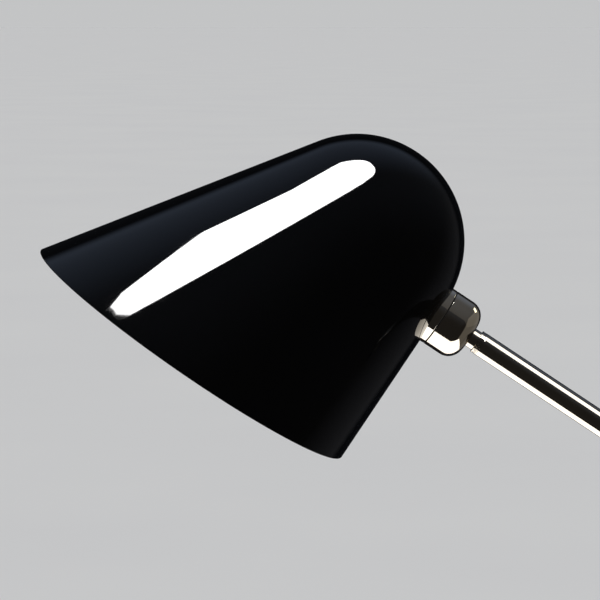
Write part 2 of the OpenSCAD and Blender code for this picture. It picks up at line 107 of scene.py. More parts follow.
BASE_H = 20 * MM
COLUMN_R, COLUMN_WALL = 9.5 * MM, 1.5 * MM
BOSS_R, BOSS_LEN, BOSS_SEAT = 24 * MM, 26 * MM, 6 * MM
KNUCKLE_R, SHOULDER_R, CUP_LEN, CUP_WALL = 16.3 * MM, 8.5 * MM, 18.4 * MM, 2.1 * MM
NECK_R, NECK_LEN, NECK_BORE_R, STUD_R = 5.3 * MM, 4.5 * MM, 2.6 * MM, 4.5 * MM
ARM_R, ARM_WALL, COLLAR_LEN, PLUG_LEN = 6.35 * MM, 1.0 * MM, 2.7 * MM, 19.4 * MM
SEAM_T, SEAM_RECESS, RUN_FIT = 0.5 * MM, 0.15 * MM, 0.05 * MM
STAND_OFF, SADDLE_FLAT, NIPPLE_R = 2.6 * MM, 6.3 * MM, 5 * MM
CROWN_R, MOUTH_LEN, SHADE_WALL = 56.6 * MM, 103 * MM, 1.2 * MM
CONE_HALF, MOUTH_SLANT = math.radians(17.5), math.radians(16.5)
SEAT_SHIFT = 9 * MM
SEGMENTS = 144

joints = {j["name"]: j for j in frame["joints"]}
slot_of = {s["node"]: s["material_slot"] for s in frame["record"]["subparts"]}


def placed(origin, z_axis):
    """The frame at origin whose Z is z_axis and whose Y stays the row frame's Y."""
    z = Vector(z_axis).normalized()
    y = Vector((0, 1, 0))
    x = y.cross(z)
    m = Matrix((x, y, z)).transposed().to_4x4()
    m.translation = Vector(origin)
    return m


AT_FLOOR = Matrix.Identity(4)
AT_PIVOT = Matrix.Translation(joints["arm_tilt"]["pos_m"])
AT_SEAM = placed(joints["head_rotate"]["pos_m"], joints["head_rotate"]["axis"])
ALONG_ARM = placed(joints["arm_tilt"]["pos_m"], joints["head_rotate"]["axis"])
IN_SHADE = AT_SEAM @ Matrix.Translation((SEAT_SHIFT, 0, CROWN_R + STAND_OFF)) \
    @ Matrix.Rotation(math.pi / 2 + CONE_HALF, 4, "Y")
ARM_LEN = (AT_SEAM.translation - AT_PIVOT.translation).length


# ---- Node materials ----

class Nodes:
    """Builds a node tree, with a short call for each node."""

    def __init__(self, owner):
        owner.use_nodes = True
        self.tree = owner.node_tree

    def add(self, kind, **settings):
        node = self.tree.nodes.new(kind)
        for key, value in settings.items():
            setattr(node, key, value)
        return node

    def link(self, output, socket):
        self.tree.links.new(output, socket)

    def wire(self, node, values):
        """Links or sets each of the node's inputs, by its name or number."""
        for key, value in values.items():
            if isinstance(value, bpy.types.NodeSocket):
                self.link(value, node.inputs[key])
            else:
                node.inputs[key].default_value = value
        return node

    def spread(self, value, low, high, to_low=0.0, to_high=1.0):
        """value from low to high becomes to_low to to_high, clamped."""
        node = self.add("ShaderNodeMapRange")
        return self.wire(node, {
            "Value": value, "From Min": low, "From Max": high,
            "To Min": to_low, "To Max": to_high}).outputs["Result"]

    def maths(self, operation, a, b):
        """One sum, product or other operation on two values."""
        node = self.add("ShaderNodeMath", operation=operation)
        return self.wire(node, {0: a, 1: b}).outputs[0]

    def mixed(self, factor, a, b):
        """Colour a where factor is 0, and colour b where it is 1."""
        node = self.add("ShaderNodeMix", data_type="RGBA")
        self.wire(node, {0: factor, 6: a, 7: b})
        return node.outputs[2]


class Finish(Nodes):
    """Builds one material, whose marks are placed in the row frame."""

    def __init__(self, name):
        self.material = bpy.data.materials.new(name)
        super().__init__(self.material)
        self.shader = self.tree.nodes["Principled BSDF"]
        self.place = self.add("ShaderNodeTexCoord").outputs["Object"]

    def turned(self, frame_matrix):
        """Coordinates in a piece's own frame, for marks that follow its axis."""
        back = frame_matrix.inverted()
        node = self.add("ShaderNodeMapping")
        return self.wire(node, {
            "Vector": self.place,
            "Location": back.translation,
            "Rotation": back.to_euler()}).outputs["Vector"]

    def stretched(self, vector, scale):
        """Coordinates multiplied by scale, axis by axis."""
        node = self.add("ShaderNodeMapping")
        return self.wire(node, {"Vector": vector, "Scale": scale}).outputs["Vector"]

    def noise(self, scale, detail=3.0, roughness=0.5, vector=None, distortion=0.0):
        node = self.add("ShaderNodeTexNoise")
        return self.wire(node, {
            "Vector": vector or self.place, "Scale": scale, "Detail": detail,
            "Roughness": roughness, "Distortion": distortion}).outputs["Fac"]

    def cells(self, scale):
        """The distance to the nearest of many scattered points."""
        node = self.add("ShaderNodeTexVoronoi")
        return self.wire(node, {"Vector": self.place, "Scale": scale}).outputs["Distance"]

    def edges(self):
        """1 on sharp convex edges and 0 elsewhere."""
        pointiness = self.add("ShaderNodeNewGeometry").outputs["Pointiness"]
        return self.spread(pointiness, 0.505, 0.56)

    def bump(self, height, strength, distance):
        node = self.add("ShaderNodeBump")
        return self.wire(node, {
            "Height": height, "Strength": strength, "Distance": distance}).outputs["Normal"]

    def finish(self, **values):
        """Sets the shader's inputs, their names written with _ for a space."""
        self.wire(self.shader, {k.replace("_", " "): v for k, v in values.items()})
        return self.material


def rgb(r, g, b):
    return (r, g, b, 1.0)


def lacquer():
    """Sprayed and polished black lacquer: faint flow marks, a hazier gloss in places, and dust."""
    n = Finish("gloss_black_lacquer")
    haze = n.noise(38, 4)
    dust = n.spread(n.cells(900), 0.0, 0.10, 1.0, 0.0)
    rough = n.maths("ADD", n.spread(haze, 0.35, 0.75, 0.018, 0.045),
                    n.maths("MULTIPLY", dust, 0.05))
    colour = n.mixed(n.spread(n.noise(14), 0.3, 0.7), rgb(0.0006, 0.0007, 0.0009),
                     rgb(0.0012, 0.0013, 0.0016))
    flow = n.bump(n.noise(55, 2, 0.4), 0.02, 0.0004)
    return n.finish(Base_Color=colour, Roughness=rough, Normal=flow, IOR=1.5)


def enamel():
    """White enamel inside the shade, with a light spray texture and faintly warmer patches."""
    n = Finish("white_enamel")
    warm = n.spread(n.noise(9), 0.3, 0.75)
    colour = n.mixed(warm, rgb(0.80, 0.79, 0.76), rgb(0.74, 0.72, 0.66))
    grain = n.bump(n.noise(700, 2), 0.12, 0.0002)
    return n.finish(Base_Color=colour, Normal=grain, IOR=1.5,
                    Roughness=n.spread(n.noise(60, 4), 0.3, 0.7, 0.28, 0.42))


def nickel(name, frame_matrix):
    """Polished nickel over turned brass: fine turning lines, smudges, and sharp edges painted a
    lighter nickel as a painted highlight.
    """
    n = Finish(name)
    local = n.turned(frame_matrix)
    smudge = n.noise(75, 4, 0.6)
    fine = n.noise(2600, 1, vector=n.stretched(local, (0.02, 0.02, 1.0)))
    rough = n.maths("ADD", n.spread(smudge, 0.35, 0.75, 0.03, 0.075),
                    n.spread(fine, 0.4, 0.75, 0.0, 0.025))
    tone = n.mixed(n.spread(n.noise(28, 3), 0.3, 0.7), rgb(0.70, 0.655, 0.585),
                   rgb(0.62, 0.575, 0.505))
    # Sharp edges are painted a lighter nickel: a painted highlight along each edge, not wear.
    lighter_edged = n.mixed(n.edges(), tone, rgb(0.80, 0.76, 0.69))
    return n.finish(Base_Color=lighter_edged, Roughness=rough, Metallic=1.0,
                    Normal=n.bump(fine, 0.05, 0.00004))


def zinc():
    """Zinc-plated steel hardware with a mottled passivated tint."""
    n = Finish("zinc_plated_steel")
    colour = n.mixed(n.noise(160, 4), rgb(0.50, 0.51, 0.50), rgb(0.66, 0.64, 0.56))
    lighter_edged = n.mixed(n.edges(), colour, rgb(0.72, 0.72, 0.70))
    return n.finish(Base_Color=lighter_edged, Metallic=1.0, Normal=n.bump(n.noise(1500), 0.1, 0.0001),
                    Roughness=n.spread(n.noise(220, 4), 0.3, 0.7, 0.28, 0.48))


def moulded(name, dark, light, low_rough, high_rough, grain_scale=900, grain=0.15):
    """A moulded or sawn solid: two close tones, lighter edges, uneven gloss and a fine grain."""
    n = Finish(name)
    colour = n.mixed(n.spread(n.noise(120, 4), 0.3, 0.7), dark, light)
    rubbed = n.mixed(n.maths("MULTIPLY", n.edges(), 0.5), colour, light)
    return n.finish(Base_Color=rubbed, IOR=1.5,
                    Normal=n.bump(n.noise(grain_scale, 3), grain, 0.0002),
                    Roughness=n.spread(n.noise(90, 4), 0.3, 0.7, low_rough, high_rough))


def felt():
    """Pressed felt: matted fibres, with pale lint in it."""
    n = Finish("pressed_felt")
    fibres = n.noise(900, 6, 0.7, vector=n.stretched(n.place, (1.0, 1.0, 0.25)), distortion=1.5)
    lint = n.spread(n.cells(420), 0.0, 0.06, 0.5, 0.0)
    colour = n.mixed(lint, n.mixed(fibres, rgb(0.012, 0.012, 0.014), rgb(0.05, 0.05, 0.055)),
                     rgb(0.25, 0.25, 0.26))
    n.shader.inputs["Sheen Weight"].default_value = 0.4
    return n.finish(Base_Color=colour, Roughness=n.spread(fibres, 0.3, 0.7, 0.85, 1.0),
                    Normal=n.bump(fibres, 0.6, 0.0006))


def cast_iron():
    """Sand-cast iron with a granular skin and a little rust bloom."""
    n = Finish("raw_cast_iron")
    rust = n.spread(n.noise(35, 5), 0.55, 0.72)
    colour = n.mixed(rust, rgb(0.05, 0.05, 0.052), rgb(0.10, 0.055, 0.03))
    return n.finish(Base_Color=colour, Metallic=0.4, Roughness=n.spread(rust, 0, 1, 0.55, 0.85),
                    Normal=n.bump(n.noise(600, 5, 0.7), 0.5, 0.0006))


def brass():
    """Drawn brass with light tarnish."""
    n = Finish("drawn_brass")
    colour = n.mixed(n.noise(140, 4), rgb(0.72, 0.50, 0.20), rgb(0.52, 0.34, 0.13))
    return n.finish(Base_Color=colour, Metallic=1.0, Normal=n.bump(n.noise(1200), 0.08, 0.0001),
                    Roughness=n.spread(n.noise(180, 4), 0.3, 0.7, 0.22, 0.42))


def opal():
    """Opal glass: white and softly translucent, with a smooth outer skin."""
    n = Finish("opal_glass")
    tone = n.mixed(n.spread(n.noise(45, 3), 0.3, 0.7), rgb(0.90, 0.89, 0.86), rgb(0.82, 0.81, 0.78))
    n.shader.inputs["Subsurface Weight"].default_value = 0.35
    n.shader.inputs["Subsurface Radius"].default_value = (0.004, 0.004, 0.004)
    return n.finish(Base_Color=tone, Normal=n.bump(n.noise(160, 2), 0.03, 0.0003), IOR=1.5,
                    Roughness=n.spread(n.noise(70, 4), 0.3, 0.7, 0.10, 0.2))


LACQUER = lacquer()
ENAMEL = enamel()
NICKEL_UPRIGHT = nickel("polished_nickel_upright", AT_FLOOR)
NICKEL_ARM = nickel("polished_nickel_arm", ALONG_ARM)
NICKEL_CROSS = nickel("polished_nickel_cross", AT_PIVOT @ Matrix.Rotation(-math.pi / 2, 4, "X"))
SLOTS = {
    "black_lacquer": LACQUER,
    "polished_nickel": NICKEL_UPRIGHT,
    "zinc_steel": zinc(),
    "cast_iron": cast_iron(),
    "felt": felt(),
    "black_rubber": moulded("black_rubber", rgb(.012, .012, .012), rgb(.03, .03, .03), .5, .7),
    "cream_plastic": moulded("cream_moulding", rgb(.66, .60, .46), rgb(.74, .68, .55), .4, .55),
    "lead_sheath": moulded("lead_sheath", rgb(.010, .010, .011), rgb(.022, .022, .023), .35, .5,
                           1600, 0.3),
    "black_phenolic": moulded("black_phenolic", rgb(.010, .009, .008), rgb(.030, .026, .023),
                              .22, .40),
    "brown_fibre": moulded("vulcanised_fibre", rgb(.14, .06, .03), rgb(.24, .11, .055), .5, .7),
    "dark_fibre": moulded("dark_fibre", rgb(.010, .009, .008), rgb(.028, .024, .021), .5, .7),
    "white_ceramic": moulded("glazed_steatite", rgb(.74, .73, .69), rgb(.82, .81, .78), .15, .35),
    "brass": brass(),
    "bulb_cap_metal": zinc(),
    "white_plastic": moulded("white_moulding", rgb(.76, .76, .74), rgb(.83, .83, .81), .25, .4,
                             1200, 0.08),
    "opal_glass": opal(),
}
ARM_PIECES = {"tilt_tongue", "arm_lower_collar", "arm_tube", "arm_upper_collar", "head_neck",
              "head_cup", "seat_ring"}
CROSS_PIECES = {"tilt_knob", "tilt_cap"}
KNUCKLE = {"head_cup", "seat_ring"}


def finish_of(node):
    """The material that a CAD node or its stand-in shows."""
    if node in ARM_PIECES:
        return NICKEL_ARM
    if node in CROSS_PIECES:
        return NICKEL_CROSS
    return SLOTS[slot_of[node]]


# ---- Mesh helpers ----

SHARP = math.radians(35)
NEARLY_STRAIGHT = math.radians(158)


def added(name, data):
    """A new object in the scene."""
    made = bpy.data.objects.new(name, data)
    bpy.context.scene.collection.objects.link(made)
    return made


def arc(centre, radius, start, end, steps):
    """Points (r, z) on an arc, angles in degrees."""
    turn = [math.radians(start + (end - start) * i / steps) for i in range(steps + 1)]
    return [(centre[0] + radius * math.cos(a), centre[1] + radius * math.sin(a)) for a in turn]


def eased(points, radius, steps=3):
    """The same closed outline with its corners rounded, where the first coordinate is above 0.
    Nearly straight corners stay, and a rounding takes less than half of each side."""
    most = 0.45
    out = []
    for i, point in enumerate(points):
        before = Vector(points[i - 1]) - Vector(point)
        after = Vector(points[(i + 1) % len(points)]) - Vector(point)
        if point[0] <= 0 or before.angle(after, math.pi) > NEARLY_STRAIGHT:
            out.append(point)
            continue
        reach = min(radius, most * before.length, most * after.length)
        start = Vector(point) + before.normalized() * reach
        end = Vector(point) + after.normalized() * reach
        for k in range(steps + 1):
            t = k / steps
            p = start * (1 - t) ** 2 + Vector(point) * 2 * t * (1 - t) + end * t * t
            out.append((p.x, p.y))
    return out


def mesh_piece(name, verts, faces, body, node, material, second=None, seconds=()):
    """A smooth mesh piece in the row frame that rides on body and stands for node. The faces
    in seconds show the second material."""
    mesh = bpy.data.meshes.new(name)
    mesh.from_pydata(verts, [], faces)
    mesh.materials.append(material)
    if second is not None:
        mesh.materials.append(second)
        for i in seconds:
            mesh.polygons[i].material_index = 1
    mesh.update()
    mesh.shade_smooth()
    mesh.set_sharp_from_angle(angle=SHARP)
    piece = added(name, mesh)
    even = piece.modifiers.new("even_normals", "WEIGHTED_NORMAL")
    even.keep_sharp = True
    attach(piece, body)
    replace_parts(piece, node)
    return piece


def ring_faces(rows, segments):
    """Faces that join each row of a closed profile, turned in so many segments, to the next."""
    faces = []
    for i in range(rows):
        low, high = i * segments, (i + 1) % rows * segments
        for k in range(segments):
            m = (k + 1) % segments
            faces.append((low + k, low + m, high + m, high + k))
    return faces


def lathe(node, body, outline, place, ease=0.25 * MM):
    """Turns a closed outline of (radius, height) points about place's Z, to stand for a node."""
    outline = eased(outline, ease)
    verts = []
    for r, z in outline:
        for k in range(SEGMENTS):
            a = 2 * math.pi * k / SEGMENTS
            verts.append(place @ Vector((r * math.cos(a), r * math.sin(a), z)))
    faces = ring_faces(len(outline), SEGMENTS)
    mesh_piece(node + "_look", verts, faces, body, node, finish_of(node))


# ---- The shade ----

def shade_radius(z):
    """The shade's outer radius at height z in its own frame."""
    tangent_z = CROWN_R * math.sin(CONE_HALF)
    if z > tangent_z:
        return math.sqrt(max(CROWN_R ** 2 - z ** 2, 0))
    return CROWN_R * math.cos(CONE_HALF) + (tangent_z - z) * math.tan(CONE_HALF)


def mouth_cut(inset, angle, rise):
    """Where the wall at that inset meets the mouth's plane, raised by rise."""
    r = CROWN_R - inset
    r0, z0 = r * math.cos(CONE_HALF), r * math.sin(CONE_HALF)
    slope = math.tan(MOUTH_SLANT) * math.cos(angle)
    flare = math.tan(CONE_HALF)
    level = -MOUTH_LEN + rise / math.cos(MOUTH_SLANT)
    z = (level + slope * (r0 + z0 * flare)) / (1 + slope * flare)
    return r0 + (z0 - z) * flare, z


def shade():
    """The spun shade, lacquered outside, with a rounded lip and a white inside."""
    segments, crown_steps, cone_steps, lip_steps = 256, 28, 48, 8
    half_wall = SHADE_WALL / 2
    verts, rows = [], []

    def row(point_at):
        """A ring of points round the axis, (radius, height) at each angle from point_at."""
        rows.append(range(len(verts), len(verts) + segments))
        for k in range(segments):
            a = 2 * math.pi * k / segments
            r, z = point_at(a)
            verts.append(IN_SHADE @ Vector((r * math.cos(a), r * math.sin(a), z)))

    def wall(inset):
        """Rows from beside the crown's top down to the mouth, for the outside or the inside."""
        r = CROWN_R - inset
        for i in range(1, crown_steps + 1):
            t = math.pi / 2 + (CONE_HALF - math.pi / 2) * i / crown_steps
            row(lambda a: (r * math.cos(t), r * math.sin(t)))
        for i in range(1, cone_steps + 1):
            def on_cone(a, share=i / cone_steps):
                """A point that share of the way from the crown down to the lip."""
                end_r, end_z = mouth_cut(inset, a, half_wall)
                r0, z0 = r * math.cos(CONE_HALF), r * math.sin(CONE_HALF)
                return r0 + (end_r - r0) * share, z0 + (end_z - z0) * share
            row(on_cone)

    wall(0)
    for i in range(1, lip_steps):
        def on_lip(a, turn=math.pi * i / lip_steps):
            """A point on the half circle that joins the outside to the inside."""
            outer, inner = (Vector(mouth_cut(inset, a, half_wall)) for inset in (0, SHADE_WALL))
            across = (inner - outer) * (1 - math.cos(turn)) / 2
            down = Vector((0, -1)) * half_wall * math.sin(turn)
            return outer + across + down
        row(on_lip)
    outside_rows = len(rows)
    first_inside = len(verts)
    wall(SHADE_WALL)
    rows[outside_rows:] = reversed(rows[outside_rows:])
    top_out, top_in = len(verts), len(verts) + 1
    verts.append(IN_SHADE @ Vector((0, 0, CROWN_R)))
    verts.append(IN_SHADE @ Vector((0, 0, CROWN_R - SHADE_WALL)))
    faces, white = [], []
    for k in range(segments):
        faces.append((top_out, rows[0][k], rows[0][(k + 1) % segments]))
    for low, high in zip(rows, rows[1:]):
        for k in range(segments):
            m = (k + 1) % segments
            if low[0] >= first_inside or high[0] >= first_inside:
                white.append(len(faces))
            faces.append((low[k], high[k], high[m], low[m]))
    for k in range(segments):
        white.append(len(faces))
        faces.append((top_in, rows[-1][(k + 1) % segments], rows[-1][k]))
    mesh_piece("shade_look", verts, faces, "head", "shade", LACQUER, ENAMEL, white)


def wall_height(x, y):
    """How far above the seam the shade's outside is, at x and y in the seam's frame, found by
    halving the range that it can be in."""
    to_shade = IN_SHADE.inverted() @ AT_SEAM
    low, high = 0.0, 20 * MM
    halvings = 40
    for _ in range(halvings):
        middle = (low + high) / 2
        p = to_shade @ Vector((x, y, middle))
        if math.hypot(p.x, p.y) > shade_radius(p.z):
            low = middle
        else:
            high = middle
    return low


def seat_ring():
    """The knuckle's saddle: its straight wall ends where the shade's wall begins."""
    bottom = SEAM_T + RUN_FIT
    ease = 0.2 * MM
    mid_ease = 0.3 * ease
    gap = 0.02 * MM
    at_shade = None
    profile = [(NIPPLE_R, at_shade), (NIPPLE_R, bottom), (KNUCKLE_R - ease, bottom),
               (KNUCKLE_R - mid_ease, bottom + mid_ease), (KNUCKLE_R, bottom + ease),
               (KNUCKLE_R, at_shade)]
    verts = []
    for r, z in profile:
        for k in range(SEGMENTS):
            a = 2 * math.pi * k / SEGMENTS
            x, y = r * math.cos(a), r * math.sin(a)
            height = wall_height(x, y) - gap if z is at_shade else z
            verts.append(AT_SEAM @ Vector((x, y, height)))
    faces = ring_faces(len(profile), SEGMENTS)
    mesh_piece("seat_ring_look", verts, faces, "head", "seat_ring", NICKEL_ARM)


shade()
seat_ring()

# ---- Turned pieces ----

lathe("seam_ring", "head", [
    (NIPPLE_R, RUN_FIT), (KNUCKLE_R - SEAM_RECESS, RUN_FIT),
    (KNUCKLE_R - SEAM_RECESS, SEAM_T + RUN_FIT), (NIPPLE_R, SEAM_T + RUN_FIT)],
    AT_SEAM, ease=0.05 * MM)

cup_corner = (KNUCKLE_R - SHOULDER_R, SHOULDER_R - CUP_LEN)
lathe("head_cup", "arm", [
    (KNUCKLE_R - CUP_WALL, 0),
    *arc(cup_corner, SHOULDER_R - CUP_WALL, 0, -90, 12),
    (STUD_R, CUP_WALL - CUP_LEN), (STUD_R, -CUP_LEN),
    *arc(cup_corner, SHOULDER_R, -90, 0, 32),
    (KNUCKLE_R, 0)], AT_SEAM)

stud_end = -CUP_LEN - NECK_LEN - PLUG_LEN + 1 * MM
lathe("head_neck", "arm", [
    (NECK_BORE_R, CUP_WALL - CUP_LEN), (NECK_BORE_R, stud_end),
    (STUD_R, stud_end), (STUD_R, -CUP_LEN - NECK_LEN),
    (NECK_R, -CUP_LEN - NECK_LEN), (NECK_R, -CUP_LEN), (STUD_R, -CUP_LEN),
    (STUD_R, CUP_WALL - CUP_LEN)], AT_SEAM)


def tube_fitting(node, start, direction):
    """A flange with two fine grooves, and the plug that closes the tube's end."""
    groove, pitch = 0.35 * MM, 0.8 * MM
    outline = [(STUD_R, 0), (ARM_R, 0)]
    for z in (pitch, 2 * pitch):
        outline += [(ARM_R, z), (ARM_R - groove, z), (ARM_R - groove, z + groove),
                    (ARM_R, z + groove)]
    outline += [(ARM_R, COLLAR_LEN), (ARM_R - ARM_WALL, COLLAR_LEN),
                (ARM_R - ARM_WALL, COLLAR_LEN + PLUG_LEN), (STUD_R, COLLAR_LEN + PLUG_LEN)]
    lathe(node, "arm", [(r, start + direction * z) for r, z in outline], ALONG_ARM,
          ease=0.12 * MM)


tube_start = KNUCKLE_R + NECK_LEN + COLLAR_LEN
tube_end = ARM_LEN - CUP_LEN - NECK_LEN - COLLAR_LEN
tube_fitting("arm_lower_collar", tube_start - COLLAR_LEN, 1)
tube_fitting("arm_upper_collar", tube_end + COLLAR_LEN, -1)
lathe("arm_tube", "arm", [
    (ARM_R - ARM_WALL, tube_start), (ARM_R, tube_start), (ARM_R, tube_end),
    (ARM_R - ARM_WALL, tube_end)], ALONG_ARM, ease=0.15 * MM)

column_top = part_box("column_tube")[1].z
lathe("column_tube", "stand", [
    (COLUMN_R - COLUMN_WALL, BASE_H + BOSS_SEAT), (COLUMN_R, BASE_H + BOSS_SEAT),
    (COLUMN_R, column_top), (COLUMN_R - COLUMN_WALL, column_top)], AT_FLOOR, ease=0.2 * MM)

boss_shoulder = 3 * MM
collar_r = COLUMN_R + 4 * MM
collar_round = 2 * MM
lathe("column_boss", "stand", [
    (NIPPLE_R, BASE_H), (BOSS_R, BASE_H), (BOSS_R, BASE_H + boss_shoulder),
    *arc((BOSS_R - SHOULDER_R, BASE_H + boss_shoulder), SHOULDER_R, 0, 80, 20),
    (collar_r, BASE_H + boss_shoulder + SHOULDER_R),
    *arc((collar_r - collar_round, BASE_H + BOSS_LEN - collar_round), collar_round, 0, 90, 10),
    (COLUMN_R, BASE_H + BOSS_LEN), (COLUMN_R, BASE_H + BOSS_SEAT),
    (NIPPLE_R, BASE_H + BOSS_SEAT)], AT_FLOOR)

# ---- Wound and bent pieces ----

def swept(node, body, points, radius, sides=16):
    """A round bar along the points, with flat ends, to stand for a CAD node."""
    verts, faces = [], []
    side = Vector((0, 1, 0))
    last = len(points) - 1
    for i, point in enumerate(points):
        ahead = (points[min(i + 1, last)] - points[max(i - 1, 0)]).normalized()
        side = (side - ahead * side.dot(ahead)).normalized()
        across = ahead.cross(side)
        for k in range(sides):
            a = 2 * math.pi * k / sides
            verts.append(point + radius * (side * math.cos(a) + across * math.sin(a)))
    for i in range(last):
        for k in range(sides):
            m = (k + 1) % sides
            faces.append((i * sides + k, i * sides + m, (i + 1) * sides + m, (i + 1) * sides + k))
    faces.append(tuple(reversed(range(sides))))
    faces.append(tuple(range(last * sides, (last + 1) * sides)))
    return mesh_piece(node + "_look", verts, faces, body, node, finish_of(node))


def curve_through(knots):
    """A smooth curve (Catmull-Rom) through the knots."""
    steps = 5
    ends = [2 * knots[0] - knots[1], *knots, 2 * knots[-1] - knots[-2]]
    points = []
    for a, b, c, d in zip(ends, ends[1:], ends[2:], ends[3:]):
        for i in range(steps):
            t = i / steps
            points.append(0.5 * (2 * b + (c - a) * t + (2 * a - 5 * b + 4 * c - d) * t ** 2
                                 + (3 * b - a - 3 * c + d) * t ** 3))
    return points + [knots[-1]]


def switch_spring():
    """The button's coil, wound to fill the CAD spring's box."""
    low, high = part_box("switch_spring")
    turns, wire_r, steps = 4, 0.8 * MM, 96
    foot = Vector(((low.x + high.x) / 2, (low.y + high.y) / 2, low.z))
    coil_r = (high.y - low.y) / 2 - wire_r
    height = high.z - low.z
    points = []
    for i in range(steps + 1):
        a = 2 * math.pi * turns * i / steps
        rise = wire_r + (height - 2 * wire_r) * i / steps
        points.append(foot + Vector((coil_r * math.cos(a), coil_r * math.sin(a), rise)))
    spring = swept("switch_spring", "stand", points, wire_r, sides=12)
    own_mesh(spring)


def head_lead():
    """The lead from the swivel to the lampholder, bent over the strap. Its bends are (x, z) in
    millimetres in the shade's frame, the same as in the CAD model."""
    lead_r = 2.2 * MM
    outward = Vector((math.cos(CONE_HALF), 0, math.sin(CONE_HALF)))
    along_wall = Vector((math.sin(CONE_HALF), 0, -math.cos(CONE_HALF))) * SEAT_SHIFT
    seam_out = CROWN_R + STAND_OFF
    in_neck, past_nut = 10 * MM, 8 * MM
    bends = [(41, 3), (37, 3.5), (33, 7), (30.5, 12), (30, 18), (30, 26), (29.5, 33), (27, 39),
             (22, 42.5), (15, 44), (8, 43), (3, 39.5), (0.5, 35), (0, 30), (0, 21)]
    knots = [outward * (seam_out + in_neck) + along_wall,
             outward * (seam_out - SADDLE_FLAT - past_nut) + along_wall,
             *(Vector((x, 0, z)) * MM for x, z in bends)]
    swept("head_lead", "head", [IN_SHADE @ p for p in curve_through(knots)], lead_r)


switch_spring()
head_lead()

# ---- CAD nodes that show as they are ----

for name, node in frame["nodes"].items():
    node.data.materials.clear()
    node.data.materials.append(finish_of(name))

# ---- Stage and light ----

FLOOR_ALBEDO, FLOOR_REACH = 0.78, 400
AMBIENT = 0.55
SUN, SUN_WIDTH = 0.75, math.radians(25)
SUN_TILT, SUN_TURN = math.radians(35), math.radians(-40)
# The surround is as bright as the lit floor far away, so that no horizon shows.
FAR_FLOOR = 0.96
FLOOR_GLOW = FAR_FLOOR * FLOOR_ALBEDO * (AMBIENT + SUN * math.cos(SUN_TILT) / math.pi)
SEAM = AT_SEAM.translation
UP_THE_ARM = Vector(joints["head_rotate"]["axis"])
OVER_THE_ARM = AT_SEAM.to_3x3() @ Vector((1, 0, 0))
TO_CAMERA = Vector((0, -1, 0))
SOFTBOX_X, SOFTBOX_Z, SOFTBOX_GLOW = SEAM.x - 0.074, 2.45, 30
# What is left of a light's strength in a reflection of a reflection.
ECHO = 0.03
WARM, COOL, AMBER = (1.0, 0.96, 0.90), (0.93, 0.96, 1.0), (1.0, 0.92, 0.78)
LAMP_YELLOW = (1.0, 0.95, 0.72)


def stage_mesh(name, corners, material):
    """A flat sheet that isn't part of the lamp."""
    mesh = bpy.data.meshes.new(name)
    mesh.from_pydata(corners, [], [tuple(range(len(corners)))])
    mesh.materials.append(material)
    piece = added(name, mesh)
    piece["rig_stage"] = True
    return piece


def floor():
    """A wide matt floor that casts no reflection in the lamp."""
    n = Finish("pale_floor")
    colour = n.mixed(n.spread(n.noise(0.6, 4), 0.3, 0.7), rgb(.77, .77, .775), rgb(.79, .79, .79))
    corners = [(x * FLOOR_REACH, y * FLOOR_REACH, 0) for x, y in ((-1, -1), (1, -1), (1, 1), (-1, 1))]
    matt = n.finish(Base_Color=colour, Roughness=0.9, Specular_IOR_Level=0.1)
    stage_mesh("floor", corners, matt).visible_glossy = False


def lit_once(owner, output_kind, strength, colour=(1, 1, 1), echo=ECHO):
    """Makes a light that shows in a reflection, and echo times as bright in a second one."""
    n = Nodes(owner)
    n.tree.nodes.clear()
    depth = n.add("ShaderNodeLightPath").outputs["Glossy Depth"]
    light = n.wire(n.add("ShaderNodeEmission"), {
        "Color": rgb(*colour),
        "Strength": n.spread(depth, 1.0, 2.0, strength, echo * strength)})
    n.link(light.outputs[0], n.add(output_kind).inputs[0])


def softbox():
    """The sheet of light nearly a metre over the head, which shows only in reflections. Its
    corners with x below 0 stay sharp, and the others are rounded."""
    corner_reach = 0.1
    outline = eased([(-0.405, -0.25), (-0.385, 0.04), (-0.29, 0.015), (-0.26, 0.08), (-0.17, 0.12),
                     (0.16, 0.145), (0.28, -0.03), (0.27, -0.20), (0.12, -0.42), (-0.05, -0.57),
                     (-0.302, -0.575), (-0.347, -0.48), (-0.391, -0.35)], corner_reach, steps=6)
    glow = bpy.data.materials.new("softbox_glow")
    lit_once(glow, "ShaderNodeOutputMaterial", SOFTBOX_GLOW)
    corners = [(SOFTBOX_X + x, y, SOFTBOX_Z) for x, y in outline]
    sheet = stage_mesh("softbox", corners, glow)
    sheet.visible_camera = False
    sheet.visible_diffuse = False
    sheet.visible_shadow = False


def panel(name, centre, facing, width, length, glow, colour, only_on,
          along=Vector((0, 0, 1)), echo=ECHO):
    """A rectangular light of even brightness, width across and length along, seen only in
    reflections and only on some pieces."""
    data = bpy.data.lights.new(name, "AREA")
    data.shape = "RECTANGLE"
    data.size = width
    data.size_y = length
    data.energy = math.pi * width * length * glow
    lit_once(data, "ShaderNodeOutputLight", 1.0, colour, echo)
    light = added(name, data)
    back = -Vector(facing).normalized()
    up = (Vector(along) - back * back.dot(Vector(along))).normalized()
    turned = Matrix((up.cross(back), up, back)).transposed().to_4x4()
    turned.translation = centre
    light.matrix_world = turned
    light.visible_camera = False
    light.visible_diffuse = False
    light.light_linking.receiver_collection = only_on


def across_arm(angle, down):
    """The direction at that angle from the camera, over the arm, and leaning down the arm."""
    a, b = math.radians(angle), math.radians(down)
    square = TO_CAMERA * math.cos(a) + OVER_THE_ARM * math.sin(a)
    return square * math.cos(b) - UP_THE_ARM * math.sin(b)


def arm_panel(name, angle, down, reach, width, length, glow, colour, only_on):
    """A panel that faces the seam from that direction, at that reach."""
    toward = across_arm(angle, down)
    panel(name, SEAM + toward * reach, -toward, width, length, glow, colour, only_on,
          UP_THE_ARM)


